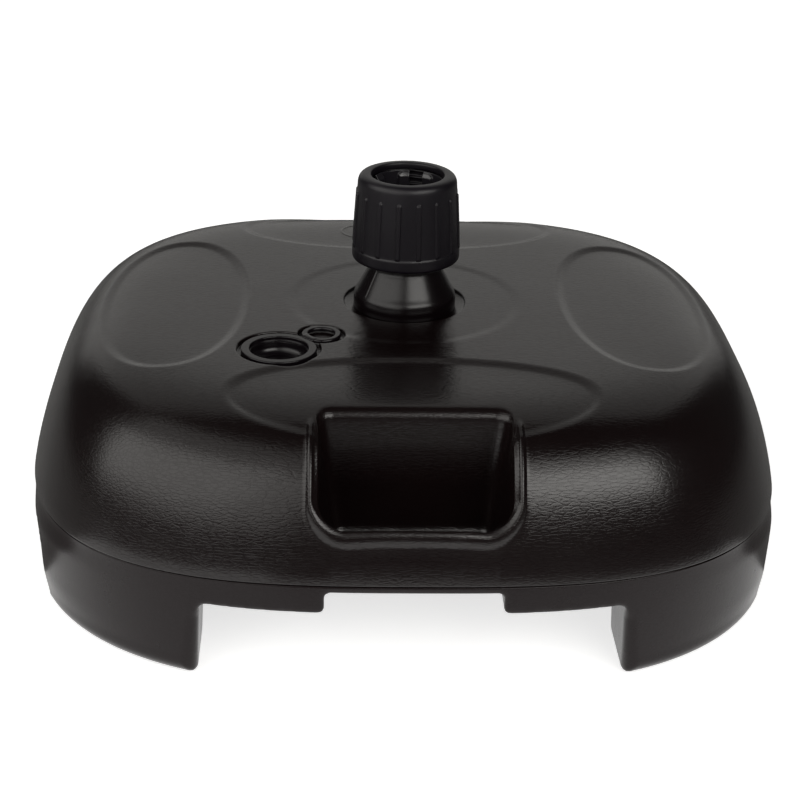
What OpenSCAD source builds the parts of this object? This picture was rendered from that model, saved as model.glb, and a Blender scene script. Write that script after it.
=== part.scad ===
// Parasol base: a fillable tank on four corner feet, with a clamp tube for the pole.
// Origin: centre of the footprint, on the floor. +Z up, the grip pocket faces -Y.

/* [Tank] */
// Width of the tank at the seam (mm)
tank_w = 500; // [490:1:510]
// Depth of the tank at the seam (mm)
tank_d = 480; // [472:1:490]
// Height of the seam between the two shells (mm)
seam_z = 74; // [73:0.5:74.5]
// Height of the flat top above the floor (mm)
top_z = 165; // [164.5:0.25:165.5]
// Wall thickness of the tank (mm)
wall = 4; // [3.5:0.25:4.5]
// Squareness of the plan outline (2 is an ellipse)
plan_n = 3.05; // [2.9:0.05:3.3]
// Squareness of the domed shoulder
dome_p = 11.5; // [9:0.5:13]

/* [Feet and arches] */
// Height of the arches between the feet (mm)
arch_z = 55; // [50:1:56]
// Half width of the front and back arches (mm)
arch_x = 130; // [124:1:134]
// Half width of the side arches (mm)
arch_y = 125; // [120:1:130]
// Radius in plan of each foot's inner corner (mm)
foot_r = 50; // [30:1:55]
// Bottom edge radius of the feet (mm)
edge_r = 15; // [10:1:16]
// Half width of the finger notch under the pocket (mm)
notch_x = 54; // [50:1:58]
// Height of the finger notch (mm)
notch_z = 68; // [66:0.5:68.5]

/* [Top recesses] */
// Depth of the four oval recesses (mm)
oval_t = 1.6; // [1:0.1:2]
// Radius of the round dish in the middle (mm)
dish_r = 80; // [75:1:84]
// Radius of the counterbore round the tube's foot (mm)
cbore_r = 42; // [40:0.5:43]

/* [Grip pocket] */
// Half width of the pocket (mm)
pocket_x = 53; // [50:1:54]
// Distance of the pocket's back wall from the centre (mm)
pocket_y = 177; // [175:1:179]
// Height of the pocket's floor (mm)
pocket_z = 79; // [78.5:0.25:81]

/* [Clamp tube] */
// Radius of the bore that takes the pole (mm)
bore_r = 21; // [20.5:0.25:21]
// Outer radius of the tube's neck (mm)
neck_r = 24; // [23.75:0.25:24]
// Radius of the conical foot (mm)
foot_cone_r = 35; // [33:0.5:36]

/* [Clamp collar] */
// Height of the collar's bottom edge (mm)
collar_z = 196.6; // [196:0.2:198]
// Height of the collar's top (mm)
collar_top = 255.5; // [255:0.25:256.5]
// Radius of the collar's mouth (mm)
mouth_r = 24.6; // [24:0.1:25]
// Number of grip ribs on the collar
rib_count = 16; // [12:1:20]

/* [Filler plug] */
// Radius of the plug's flange (mm)
plug_r = 25; // [24:0.25:25.5]
// Radius of the filler neck's bore (mm)
filler_r = 21.8; // [21.6:0.1:22.4]
// Radius of the hole in the pull ring (mm)
ring_hole_r = 8.75; // [8:0.25:9.5]

/* [Hidden] */
$fn = 64;

A = tank_w / 2;
B = tank_d / 2;
H = top_z - seam_z;
cb_z = 161.5;               // floor of the counterbore
key_z = 162;                // floor of the keyhole recess
plug_c = [-84.5, -89];      // plug centre
ring_c = [-57, -64];        // pull ring centre
key_dir = atan2(ring_c[1] - plug_c[1], ring_c[0] - plug_c[0]);
key_len = norm(ring_c - plug_c);
root_z = 212;               // root of the collet fingers
finger_top = 250.6;
finger_w = 66.5;            // width of a finger (degrees)
finger_in = 23.7;           // inner radius of a finger between its pads
pad_w = 20;                 // width of a gripping pad (degrees)
lip_z = 251.2;              // underside of the collar's lip
ring_z = 230;               // underside of the slip ring
slot_a = 72.75;              // direction of the first slot of the collet
head_r = 25.5;              // outer radius of the tube's head and the fingers
grip_r = bore_r + 0.6;      // inner radius of the pads of the open fingers
nut_bore = 28.2;            // bore of the collar
tank_col = [0.07, 0.07, 0.075];
skirt_col = [0.055, 0.055, 0.06];
tube_col = [0.045, 0.045, 0.05];
collar_col = [0.08, 0.085, 0.095];
plug_col = [0.035, 0.035, 0.04];

// ---------- plan outline and lofts ----------
function plan_r(t, a, b, n) = pow(pow(abs(cos(t)) / a, n) + pow(abs(sin(t)) / b, n), -1 / n);
function ring_pts(a, b, n, z, cnt) =
    [for (i = [0:cnt-1]) let (t = 360 * i / cnt, r = plan_r(t, a, b, n)) [r * cos(t), r * sin(t), z]];

// closed solid through a stack of plan rings, each [a, b, n, z]
module loft(rings, cnt) {
    m = len(rings);
    pts = [for (r = rings) each ring_pts(r[0], r[1], r[2], r[3], cnt)];
    sides = [for (k = [0:m-2]) for (i = [0:cnt-1]) let (j = (i + 1) % cnt)
        each [[k*cnt + i, (k+1)*cnt + i, (k+1)*cnt + j], [k*cnt + i, (k+1)*cnt + j, k*cnt + j]]];
    polyhedron(points = pts, faces = concat([[for (i = [0:cnt-1]) i]], sides,
        [[for (i = [0:cnt-1]) (m-1)*cnt + cnt - 1 - i]]), convexity = 6);
}

function dome_h(s) = H * pow(max(0, 1 - pow(s, dome_p)), 0.917);
dome_s = [1, 0.993, 0.984, 0.972, 0.957, 0.939, 0.917, 0.89, 0.856, 0.812, 0.755, 0.68];
dome_si = [1, 0.975, 0.945, 0.905, 0.85, 0.77];

// solid dome, pulled in by t on the sides and the top
module dome(t, svals, cnt, z0) {
    loft(concat([[A - t, B - t, plan_n, z0]],
        [for (s = svals) [(A - t) * s, (B - t) * s, plan_n, seam_z + 0.01 + dome_h(s) - t * min(1, dome_h(s) / 20)]]), cnt);
}

// skirt, from the floor to the seam, pulled in by t
module skirt(t, cnt, z1) {
    e = edge_r;
    loft(concat(
        [for (q = [0:22.5:90]) [A + 2 - t - e * (1 - sin(q)), B + 2 - t - e * (1 - sin(q)), 2.76, t + e * (1 - cos(q))]],
        [[A + 1 - t, B + 1 - t, 2.88, 45], [A - 0.8 - t, B - 0.8 - t, plan_n, z1]]), cnt);
}

// ---------- tank, upper shell ----------
module oval(cx, cy, rx, ry) {
    translate([cx, cy, 140]) linear_extrude(40)
        polygon([for (i = [0:47]) [rx * cos(i * 7.5), ry * sin(i * 7.5)]]);
}
module ovals() {
    oval(157.6, 0, 50.7, 116.9);
    oval(-157.6, 0, 50.7, 116.9);
    oval(0, 154.8, 117.8, 52.5);
    oval(0, -154.8, 117.8, 52.5);
}
module dish() {
    rotate_extrude($fn = 96) polygon([[0, top_z - 1], [dish_r - 8, top_z - 1], [dish_r, top_z + 0.4],
        [dish_r, top_z + 8], [0, top_z + 8]]);
}
module keyhole(z0, z1, grow) {
    translate([plug_c[0], plug_c[1], z0]) cylinder(r = 27.5 + grow, h = z1 - z0);
    translate([ring_c[0], ring_c[1], z0]) cylinder(r = 19.5 + grow, h = z1 - z0);
}
// space of the grip pocket: straight back wall, sides that lean in towards the floor
module pocket(g) {
    translate([0, -pocket_y + g, 0]) rotate([90, 0, 0]) linear_extrude(230 - pocket_y + 2 * g)
        polygon([[-pocket_x + 4 - g, pocket_z - g], [pocket_x - 4 + g, pocket_z - g],
                 [pocket_x + 0.3 + g, 170 + 8 * g], [-pocket_x - 0.3 - g, 170 + 8 * g]]);
}
// opening of the pocket through the dome, up to the lip
module pocket_mouth() {
    translate([0, -pocket_y - 20, 106]) rotate([90, 0, 0]) linear_extrude(70)
        polygon([[-pocket_x + 3, 0], [pocket_x - 3, 0], [pocket_x + 1, 12], [pocket_x + 2, 64],
                 [-pocket_x - 2, 64], [-pocket_x - 1, 12]]);
}
module tank_upper_shell() {
    color(tank_col) difference() {
        union() {
            difference() {
                dome(0, dome_s, 96, seam_z);
                dome(wall, dome_si, 48, seam_z - 10);
            }
            intersection() {
                dome(0.2, dome_si, 48, seam_z);
                union() {
                    translate([0, 0, cb_z - wall]) cylinder(r = cbore_r + 3.5, h = 20);
                    translate([0, 0, arch_z + wall]) cylinder(r = 33.5, h = cb_z - arch_z - wall - 1);
                    keyhole(key_z - wall, 180, 3.5);
                    translate([plug_c[0], plug_c[1], 142]) cylinder(r = filler_r + 3.4, h = key_z - 143);
                    intersection() {
                        pocket(wall);
                        translate([-100, -300, pocket_z - wall]) cube([200, 200, 120]);
                    }
                }
            }
            // the sleeve's lower part, below the seam
            translate([0, 0, arch_z + wall]) cylinder(r = 33.5, h = 40);
        }
        dish();
        translate([0, 0, cb_z]) cylinder(r = cbore_r, h = 20);
        translate([0, 0, arch_z]) cylinder(r = 30, h = 120);
        keyhole(key_z, 190, 0);
        translate([plug_c[0], plug_c[1], 130]) cylinder(r = filler_r, h = 50);
        pocket(0);
        pocket_mouth();
        difference() {
            ovals();
            dome(oval_t, dome_si, 48, seam_z);
        }
    }
}

// ---------- tank, lower shell ----------
// one foot's column in plan, with a rounded inner corner
module foot_plan(g) {
    x0 = arch_x + g;
    y0 = arch_y + g;
    r = foot_r;
    polygon(concat([for (q = [180:11.25:270]) [x0 + r + r * cos(q), y0 + r + r * sin(q)]],
        [[300, y0], [300, 300], [x0, 300]]));
}
module feet(g, z0, z1) {
    for (sx = [0, 1]) for (sy = [0, 1])
        mirror([sx, 0, 0]) mirror([0, sy, 0]) translate([0, 0, z0]) linear_extrude(z1 - z0) foot_plan(g);
}
module belly(z0, nz, g) {
    difference() {
        translate([-300, -300, z0]) cube([600, 600, seam_z - z0 + 4]);
        translate([-notch_x - g, -300, z0 - 1]) cube([2 * (notch_x + g), 300 - 196 + g, nz - z0 + 1]);
    }
}
module tank_lower_shell() {
    color(skirt_col) difference() {
        intersection() {
            skirt(0, 96, seam_z);
            union() {
                belly(arch_z, notch_z, 0);
                feet(0, -1, arch_z + 1);
            }
        }
        intersection() {
            skirt(wall, 48, seam_z + 1);
            union() {
                belly(arch_z + wall, notch_z + wall - 1, wall);
                feet(wall, wall, arch_z + wall + 1);
            }
        }
        translate([0, 0, arch_z - 5]) cylinder(r = 24.5, h = 20);
    }
}

// ---------- clamp tube ----------
module stand_tube() {
    color(tube_col) difference() {
        rotate_extrude($fn = 96) polygon([
            [0, 36], [neck_r, 36], [neck_r, 140], [29.6, 144], [29.6, cb_z],
            [foot_cone_r, cb_z], [foot_cone_r, 166], [foot_cone_r - 0.6, 169.4],
            [foot_cone_r - 1.6, 171.8], [foot_cone_r - 3, 173.8], [neck_r + 0.4, 190.2], [neck_r, 191.5],
            [neck_r, 203], [head_r, 204.5], [head_r, root_z], [0, root_z]]);
        // pole bore, open at the top, with a drain hole in its floor
        translate([0, 0, 40]) cylinder(r = bore_r, h = 180);
        translate([0, 0, 30]) cylinder(r = 4, h = 20);
        // the foot is cored out from below
        rotate_extrude($fn = 96) polygon([[neck_r, 120], [neck_r + 2.6, 144], [neck_r + 2.6, 168], [neck_r, 168]]);
    }
}
module tube_retaining_nut() {
    color(tube_col) difference() {
        union() {
            translate([0, 0, 43]) cylinder(r = 32, h = 9);
            translate([0, 0, 52]) cylinder(r = 38, h = arch_z - 52);
            for (i = [0:7]) rotate(i * 45) translate([29, -3.5, 43]) cube([7.5, 7, 10]);
        }
        translate([0, 0, 30]) cylinder(r = neck_r + 0.06, h = 40);
    }
}

// ---------- collet ----------
// outer radius of the open fingers: a wedge that the slip ring rides down
function wedge_r(z) = z < 219 ? 26.6 : z < 231 ? 26.6 - (z - 219) * 1.3 / 12 : 25.3;
module collet_finger(k) {
    color(tube_col) rotate(slot_a + (90 - finger_w) / 2 + 90 * k) {
        rotate_extrude(angle = finger_w, $fn = 96) polygon([
            [finger_in, root_z + 0.3], [25.5, root_z + 0.3], [25.5, 215], [26.6, 219], [25.3, 231],
            [25.3, 248], [24.4, finger_top], [finger_in, finger_top]]);
        // two gripping pads, one beside each slot
        for (q = [0, finger_w - pad_w]) rotate(q) rotate_extrude(angle = pad_w, $fn = 96) polygon([
            [grip_r + 1, root_z + 0.3], [finger_in + 0.5, root_z + 0.3], [finger_in + 0.5, 249.6],
            [finger_in - 0.1, 249.6], [grip_r, 246.5], [grip_r, root_z + 1.3]]);
    }
}
module slip_ring() {
    color(tube_col) rotate_extrude($fn = 96) polygon([
        [wedge_r(ring_z) + 0.35, ring_z], [nut_bore - 0.3, ring_z], [nut_bore - 0.3, ring_z + 6],
        [25.65, ring_z + 6], [25.65, ring_z + 1]]);
}

// ---------- clamp collar ----------
module collar_rib() {
    intersection() {
        translate([33, -1.5, collar_z + 8]) cube([6, 3, 40.1]);
        rotate_extrude($fn = 96) polygon([[30, collar_z + 7], [36.6, collar_z + 7], [37, collar_z + 10],
            [36, collar_z + 30], [34.9, collar_z + 45.5], [33.4, collar_z + 48.1], [30, collar_z + 48.1]]);
    }
}
module clamp_collar() {
    color(collar_col) difference() {
        union() {
            rotate_extrude($fn = 96) polygon([
                [25, collar_z + 1], [nut_bore, collar_z], [34.6, collar_z], [36.2, collar_z + 1.4], [36.6, collar_z + 3],
                [36.6, collar_z + 8.9], [36, collar_z + 10.3], [35, collar_z + 28.9], [33.9, collar_z + 45.9],
                [33.4, collar_top - 4.5], [32.6, collar_top - 2], [30.9, collar_top - 0.5], [29, collar_top],
                [mouth_r + 0.6, collar_top], [mouth_r, collar_top - 0.6]]);
            for (i = [0:rib_count-1]) rotate(i * 360 / rib_count + 180 / rib_count) collar_rib();
        }
        translate([0, 0, collar_z - 5]) cylinder(r = nut_bore, h = lip_z - collar_z + 5);
        cylinder(r = mouth_r, h = 300);
        // core-outs from below, between eight webs
        for (i = [0:7]) rotate(i * 45 + 2.5) rotate_extrude(angle = 40, $fn = 96)
            translate([30.4, collar_z - 1]) square([2.6, 40]);
    }
}

// ---------- filler plug ----------
module at_plug() {
    translate([plug_c[0], plug_c[1], 0]) rotate(key_dir) children();
}
module filler_plug() {
    color(plug_col) at_plug() difference() {
        rotate_extrude($fn = 96) polygon([
            [0, 151.5], [17, 151.5], [18, 146], [20.6, 144], [filler_r - 0.3, 147], [filler_r - 0.3, key_z],
            [plug_r, key_z], [plug_r, key_z + 2.6], [plug_r - 0.8, key_z + 3.4], [20.2, key_z + 3.4],
            [19.25, key_z + 2.6], [19.25, 160], [17.6, 159], [17.6, 156.5], [15, 155.5], [14.4, 154.8], [0, 154.8]]);
        // flat on the flange for the hinge
        translate([23.5, -20, key_z - 1]) cube([10, 40, 8]);
    }
}
module plug_pull_ring() {
    hx = 25.1;                 // hinge axis from the plug's centre
    hz = key_z + 2.4;          // height of the hinge axis
    color(plug_col) at_plug() difference() {
        union() {
            intersection() {
                translate([key_len, 0, hz - 1.2]) cylinder(r = 14, h = 2.4);
                translate([hx, -20, 150]) cube([40, 40, 30]);
            }
            translate([hx, 5, hz]) rotate([90, 0, 0]) cylinder(r = 1.2, h = 10, $fn = 32);
            translate([hx, -5, hz - 1.2]) cube([5, 10, 2.4]);
        }
        translate([key_len, 0, 150]) cylinder(r = ring_hole_r, h = 30);
    }
}

tank_upper_shell();
tank_lower_shell();
stand_tube();
tube_retaining_nut();
clamp_collar();
slip_ring();
collet_finger(0);  // collet_finger_1
collet_finger(1);  // collet_finger_2
collet_finger(2);  // collet_finger_3
collet_finger(3);  // collet_finger_4
filler_plug();
plug_pull_ring();
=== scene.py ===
import math

import bmesh
import bpy
import numpy as np
from mathutils import Matrix, Vector
from mathutils.geometry import delaunay_2d_cdt


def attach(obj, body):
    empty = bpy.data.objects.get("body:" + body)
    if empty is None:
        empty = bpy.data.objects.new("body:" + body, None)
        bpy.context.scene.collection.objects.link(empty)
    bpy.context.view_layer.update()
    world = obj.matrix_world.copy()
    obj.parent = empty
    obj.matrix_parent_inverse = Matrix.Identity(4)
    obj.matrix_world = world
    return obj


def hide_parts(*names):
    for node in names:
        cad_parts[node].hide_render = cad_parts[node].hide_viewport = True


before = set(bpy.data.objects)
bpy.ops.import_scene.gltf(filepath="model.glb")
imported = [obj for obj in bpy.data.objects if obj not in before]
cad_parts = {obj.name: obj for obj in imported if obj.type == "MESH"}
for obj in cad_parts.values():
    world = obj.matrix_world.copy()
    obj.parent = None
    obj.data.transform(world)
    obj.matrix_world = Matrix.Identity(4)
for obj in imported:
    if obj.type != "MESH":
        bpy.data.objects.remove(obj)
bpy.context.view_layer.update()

MM = 0.001
TAU = 2 * math.pi


# ------------------------------------------------------------------ mesh helpers
def build(name, V, faces, body, replaces=None, mat=None, normals=None, smooth=True):
    """A mesh object from points in mm and a list of faces or face arrays."""
    me = bpy.data.meshes.new(name)
    flat = []
    for f in faces:
        if isinstance(f, np.ndarray) and f.ndim == 2:
            flat.append((f.shape[0], f.shape[1], f.reshape(-1)))
        else:
            flat.append((1, len(f), np.asarray(f)))
    loops = np.concatenate([f[2] for f in flat]).astype(np.int32)
    totals = np.concatenate([np.full(f[0], f[1]) for f in flat]).astype(np.int32)
    starts = np.concatenate([[0], np.cumsum(totals)[:-1]]).astype(np.int32)
    me.vertices.add(len(V))
    me.vertices.foreach_set("co", (np.asarray(V, float) * MM).astype(np.float32).reshape(-1))
    me.loops.add(len(loops))
    me.loops.foreach_set("vertex_index", loops)
    me.polygons.add(len(totals))
    me.polygons.foreach_set("loop_start", starts)
    me.polygons.foreach_set("use_smooth", np.full(len(totals), smooth))
    me.update(calc_edges=True)
    me.validate()
    ob = bpy.data.objects.new(name, me)
    bpy.context.scene.collection.objects.link(ob)
    if normals is not None and len(me.vertices) == len(V):
        me.normals_split_custom_set_from_vertices(np.asarray(normals, float).tolist())
    if mat is not None:
        me.materials.append(mat)
    if body:
        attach(ob, body)
    if replaces:
        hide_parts(*replaces)
    return ob


def fix_outward(ob):
    bm = bmesh.new()
    bm.from_mesh(ob.data)
    bmesh.ops.recalc_face_normals(bm, faces=bm.faces)
    bm.to_mesh(ob.data)
    bm.free()


def strips(rings, n, closed=True, flip=False):
    """Quads between rings of n points each, given as lists of point indices."""
    out = []
    for a, b in zip(rings[:-1], rings[1:]):
        a, b = np.asarray(a), np.asarray(b)
        a2, b2 = (np.roll(a, -1), np.roll(b, -1)) if closed else (a[1:], b[1:])
        a1, b1 = (a, b) if closed else (a[:-1], b[:-1])
        q = np.stack([a1, a2, b2, b1], 1)
        out.append(q[:, ::-1] if flip else q)
    return out


def smoothstep(t):
    t = np.clip(t, 0, 1)
    return t * t * (3 - 2 * t)


def chaikin(P, times=2):
    """Corner cutting along axis 0, with the end points kept."""
    for _ in range(times):
        q = 0.75 * P[:-1] + 0.25 * P[1:]
        r = 0.25 * P[:-1] + 0.75 * P[1:]
        mid = np.empty((2 * len(q),) + P.shape[1:])
        mid[0::2], mid[1::2] = q, r
        P = np.concatenate([P[:1], mid[1:-1], P[-1:]])
    return P


# ------------------------------------------------------------------ solids from distance functions
def round_and(a, b, r):
    return np.minimum(-r, np.maximum(a, b)) + np.sqrt(np.maximum(r + a, 0) ** 2 + np.maximum(r + b, 0) ** 2)


def round_or(a, b, r):
    return np.maximum(r, np.minimum(a, b)) - np.sqrt(np.maximum(r - a, 0) ** 2 + np.maximum(r - b, 0) ** 2)


def surface_nets(f, lo, hi, h, steps=4):
    """Closed quad mesh of f = 0, with its points moved onto the surface, and their normals."""
    lo, hi = np.asarray(lo, float), np.asarray(hi, float)
    n = np.ceil((hi - lo) / h).astype(int) + 1
    ax = [lo[k] + h * np.arange(n[k]) for k in range(3)]
    X, Y, Z = np.meshgrid(*ax, indexing="ij")
    v = f(X, Y, Z)
    inside = v < 0
    c = n - 1
    corner = [(i, j, k) for i in (0, 1) for j in (0, 1) for k in (0, 1)]
    sl = lambda o: tuple(slice(o[k], o[k] + c[k]) for k in range(3))
    cnt = sum(inside[sl(o)].astype(np.int8) for o in corner)
    mask = (cnt > 0) & (cnt < 8)
    idx = np.full(mask.shape, -1, np.int64)
    idx[mask] = np.arange(mask.sum())
    acc = np.zeros((mask.sum(), 3))
    num = np.zeros(mask.sum())
    for a in corner:
        for k in range(3):
            if a[k]:
                continue
            b = tuple(a[m] + (m == k) for m in range(3))
            va, vb = v[sl(a)][mask], v[sl(b)][mask]
            cross = (va < 0) != (vb < 0)
            t = np.where(cross, va / np.where(cross, va - vb, 1), 0)
            p = np.array(a, float)[None, :] + np.zeros((len(t), 3))
            p[:, k] += t
            acc += np.where(cross[:, None], p, 0)
            num += cross
    ijk = np.argwhere(mask)
    V = lo + h * (ijk + acc / num[:, None])
    faces = []
    for k in range(3):
        a, b = (k + 1) % 3, (k + 2) % 3
        s0 = [slice(None)] * 3
        s1 = [slice(None)] * 3
        s0[k], s1[k] = slice(0, c[k]), slice(1, c[k] + 1)
        for m in (a, b):
            s0[m] = s1[m] = slice(1, c[m])
        A, B = inside[tuple(s0)], inside[tuple(s1)]
        for here, flip in ((A & ~B, False), (~A & B, True)):
            e = np.argwhere(here)
            if not len(e):
                continue
            e[:, a] += 1
            e[:, b] += 1
            quad = []
            for da, db in ((1, 1), (0, 1), (0, 0), (1, 0)):
                g = e.copy()
                g[:, a] -= da
                g[:, b] -= db
                quad.append(idx[g[:, 0], g[:, 1], g[:, 2]])
            q = np.stack(quad, 1)
            faces.append(q[:, ::-1] if flip else q)
    eps = 0.04

    def grad(P):
        g = np.empty_like(P)
        for k in range(3):
            d = np.zeros(3)
            d[k] = eps
            g[:, k] = (f(*(P + d).T) - f(*(P - d).T)) / (2 * eps)
        return g

    start = V.copy()
    for _ in range(steps):
        g = grad(V)
        val = f(*V.T)
        step = -(val / np.maximum((g * g).sum(1), 1e-4))[:, None] * g
        length = np.linalg.norm(step, axis=1, keepdims=True)
        V = V + step * np.minimum(1, 0.5 * h / np.maximum(length, 1e-9))
    off = V - start
    far = np.linalg.norm(off, axis=1, keepdims=True)
    V = start + off * np.minimum(1, 0.9 * h / np.maximum(far, 1e-9))
    g = grad(V)
    return V, faces, g / np.maximum(np.linalg.norm(g, axis=1, keepdims=True), 1e-9)


# ------------------------------------------------------------------ materials
def new_mat(name):
    m = bpy.data.materials.new(name)
    m.use_nodes = True
    nt = m.node_tree
    b = nt.nodes["Principled BSDF"]
    return m, nt, b


def node(nt, kind, **kw):
    n = nt.nodes.new(kind)
    for k, v in kw.items():
        if k.startswith("i_"):
            n.inputs[k[2:].replace("_", " ")].default_value = v
        else:
            setattr(n, k, v)
    return n


def ramp(nt, fac, stops, mode="LINEAR"):
    r = nt.nodes.new("ShaderNodeValToRGB")
    r.color_ramp.interpolation = mode
    while len(r.color_ramp.elements) < len(stops):
        r.color_ramp.elements.new(0.5)
    for e, (p, c) in zip(r.color_ramp.elements, stops):
        e.position = p
        e.color = (c, c, c, 1) if not hasattr(c, "__len__") else (*c, 1)
    nt.links.new(fac, r.inputs["Fac"])
    return r.outputs["Color"]


def moulded(name, dark, light, rough, grain, grain_size, stretch=(1, 1, 1), wave=0.0, spec=0.5, fine=0.0, coat=0.0, blotch=0.05, grain_crease_shade=0.06):
    """Black moulded plastic: colour drift, roughness drift, a leather-like grain and fine streaks in the bump, and
    painted shade: a weaker reflection in the grain's creases.
    """
    m, nt, b = new_mat(name)
    L = nt.links.new
    co = node(nt, "ShaderNodeTexCoord")
    mp = node(nt, "ShaderNodeMapping")
    mp.inputs["Scale"].default_value = stretch
    L(co.outputs["Object"], mp.inputs["Vector"])
    # large soft drift of colour and gloss
    big = node(nt, "ShaderNodeTexNoise", i_Scale=9.0, i_Detail=4.0, i_Roughness=0.55)
    L(co.outputs["Object"], big.inputs["Vector"])
    L(ramp(nt, big.outputs["Fac"], [(0.3, dark), (0.72, light)]), b.inputs["Base Color"])
    mid = node(nt, "ShaderNodeTexNoise", i_Scale=60.0, i_Detail=5.0, i_Roughness=0.6)
    L(mp.outputs["Vector"], mid.inputs["Vector"])
    mix = node(nt, "ShaderNodeMath", operation="MULTIPLY_ADD")
    L(mid.outputs["Fac"], mix.inputs[0])
    mix.inputs[1].default_value = 0.5
    L(big.outputs["Fac"], mix.inputs[2])
    L(ramp(nt, mix.outputs["Value"], [(0.45, rough - blotch), (1.0, rough + blotch)]), b.inputs["Roughness"])
    # grain: creased cells, warped so that they run like leather
    warp = node(nt, "ShaderNodeTexNoise", i_Scale=grain_size * 0.35, i_Detail=2.0)
    L(mp.outputs["Vector"], warp.inputs["Vector"])
    add = node(nt, "ShaderNodeVectorMath", operation="MULTIPLY_ADD")
    L(warp.outputs["Color"], add.inputs[0])
    add.inputs[1].default_value = (1.2 / grain_size,) * 3
    L(mp.outputs["Vector"], add.inputs[2])
    cell = node(nt, "ShaderNodeTexVoronoi", feature="SMOOTH_F1", i_Scale=grain_size)
    cell.inputs["Smoothness"].default_value = 0.6
    L(add.outputs["Vector"], cell.inputs["Vector"])
    crease = node(nt, "ShaderNodeTexVoronoi", feature="DISTANCE_TO_EDGE", i_Scale=grain_size * 0.6)
    L(add.outputs["Vector"], crease.inputs["Vector"])
    cr = ramp(nt, crease.outputs["Distance"], [(0.0, 0.0), (0.16, 1.0)], "EASE")
    tiny = node(nt, "ShaderNodeTexNoise", i_Scale=grain_size * 3.0, i_Detail=2.0)
    L(mp.outputs["Vector"], tiny.inputs["Vector"])
    h1 = node(nt, "ShaderNodeMath", operation="MULTIPLY_ADD")
    L(cell.outputs["Distance"], h1.inputs[0])
    h1.inputs[1].default_value = -0.9
    L(cr, h1.inputs[2])
    h2 = node(nt, "ShaderNodeMath", operation="MULTIPLY_ADD")
    L(tiny.outputs["Fac"], h2.inputs[0])
    h2.inputs[1].default_value = 0.35 + fine
    L(h1.outputs["Value"], h2.inputs[2])
    bump = node(nt, "ShaderNodeBump")
    bump.inputs["Strength"].default_value = grain
    bump.inputs["Distance"].default_value = 0.00022
    L(h2.outputs["Value"], bump.inputs["Height"])
    last = bump
    if wave:
        # slow unevenness of a blown wall
        slow = node(nt, "ShaderNodeTexNoise", i_Scale=14.0, i_Detail=2.0, i_Roughness=0.45)
        L(co.outputs["Object"], slow.inputs["Vector"])
        b2 = node(nt, "ShaderNodeBump")
        b2.inputs["Strength"].default_value = wave
        b2.inputs["Distance"].default_value = 0.003
        L(slow.outputs["Fac"], b2.inputs["Height"])
        L(bump.outputs["Normal"], b2.inputs["Normal"])
        last = b2
    L(last.outputs["Normal"], b.inputs["Normal"])
    # painted shade: Specular IOR Level follows the grain's height, so the grain shows in reflections. Its creases
    # reflect less, as if shade fell in them, and its ridges reflect a little more.
    spec_shaded_in_creases = node(nt, "ShaderNodeMapRange", i_From_Min=-0.3, i_From_Max=1.2, i_To_Min=spec * (1 - 1.4 * grain_crease_shade), i_To_Max=spec * (1 + grain_crease_shade))
    nt.links.new(h2.outputs["Value"], spec_shaded_in_creases.inputs["Value"])
    nt.links.new(spec_shaded_in_creases.outputs["Result"], b.inputs["Specular IOR Level"])
    b.inputs["IOR"].default_value = 1.51
    if coat:
        b.inputs["Coat Weight"].default_value = coat
        b.inputs["Coat Roughness"].default_value = 0.3
    return m


# the last argument sets how strongly the grain's creases get painted shade in their reflection
M_top = moulded("tank_top_grain", (0.0034, 0.0016, 0.0017), (0.0044, 0.0024, 0.0024), 0.215, 0.16, 540.0, (0.42, 1.25, 1.7), wave=0.08, blotch=0.03, spec=0.40, grain_crease_shade=0.09)
M_skirt = moulded("tank_skirt_satin", (0.0038, 0.0014, 0.0018), (0.0048, 0.0022, 0.0026), 0.26, 0.09, 520.0, (1.0, 1.0, 1.3), wave=0.08, blotch=0.03, spec=0.225, grain_crease_shade=0.05)
M_tube = moulded("tube_gloss", (0.0022, 0.0010, 0.0014), (0.0030, 0.0016, 0.0020), 0.26, 0.05, 900.0, wave=0.0, blotch=0.03, spec=0.33)
M_collar = moulded("collar_satin", (0.0028, 0.0018, 0.0034), (0.0040, 0.0028, 0.0050), 0.38, 0.10, 1500.0, wave=0.0, blotch=0.03, spec=0.345)
M_grip = moulded("grip_satin", (0.0065, 0.0055, 0.0075), (0.0095, 0.0085, 0.0110), 0.30, 0.06, 1100.0, wave=0.0, blotch=0.03, spec=0.62)
M_plug = moulded("plug_gloss", (0.0022, 0.0010, 0.0018), (0.0028, 0.0016, 0.0026), 0.25, 0.06, 1100.0, wave=0.0, blotch=0.03, spec=0.36)

# ------------------------------------------------------------------ tank: common shapes (mm)
A_, B_, NP = 250.0, 240.0, 3.05
Z0, DH, DP, DQ = 74.9, 90.2, 11.5, 0.917
PLUG, RING = np.array([-84.5, -89.0]), np.array([-57.0, -64.0])
KD = math.atan2(RING[1] - PLUG[1], RING[0] - PLUG[0])
KL = float(np.linalg.norm(RING - PLUG))
OVALS = [(157.6, 0, 51.5, 117.5), (-157.6, 0, 51.5, 117.5), (0, 154.8, 118, 53), (0, -154.8, 118, 53)]
OVAL_M = 2.15


def plan_s(x, y):
    return ((np.abs(x) / A_) ** NP + (np.abs(y) / B_) ** NP) ** (1 / NP)


def plan_ring(s, t):
    r = s / ((np.abs(np.cos(t)) / A_) ** NP + (np.abs(np.sin(t)) / B_) ** NP) ** (1 / NP)
    return np.stack([r * np.cos(t), r * np.sin(t)], 1)


def even_t(n, s=1.0):
    """Angles that space n points evenly along the plan outline."""
    t = np.linspace(0, TAU, 4001)
    p = plan_ring(s, t)
    d = np.concatenate([[0], np.cumsum(np.linalg.norm(np.diff(p, axis=0), axis=1))])
    return np.interp(np.arange(n) / n * d[-1], d, t)


def dome_z(x, y):
    s = np.minimum(plan_s(x, y), 1.0)
    return Z0 + DH * np.maximum(0, 1 - s**DP) ** DQ


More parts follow.
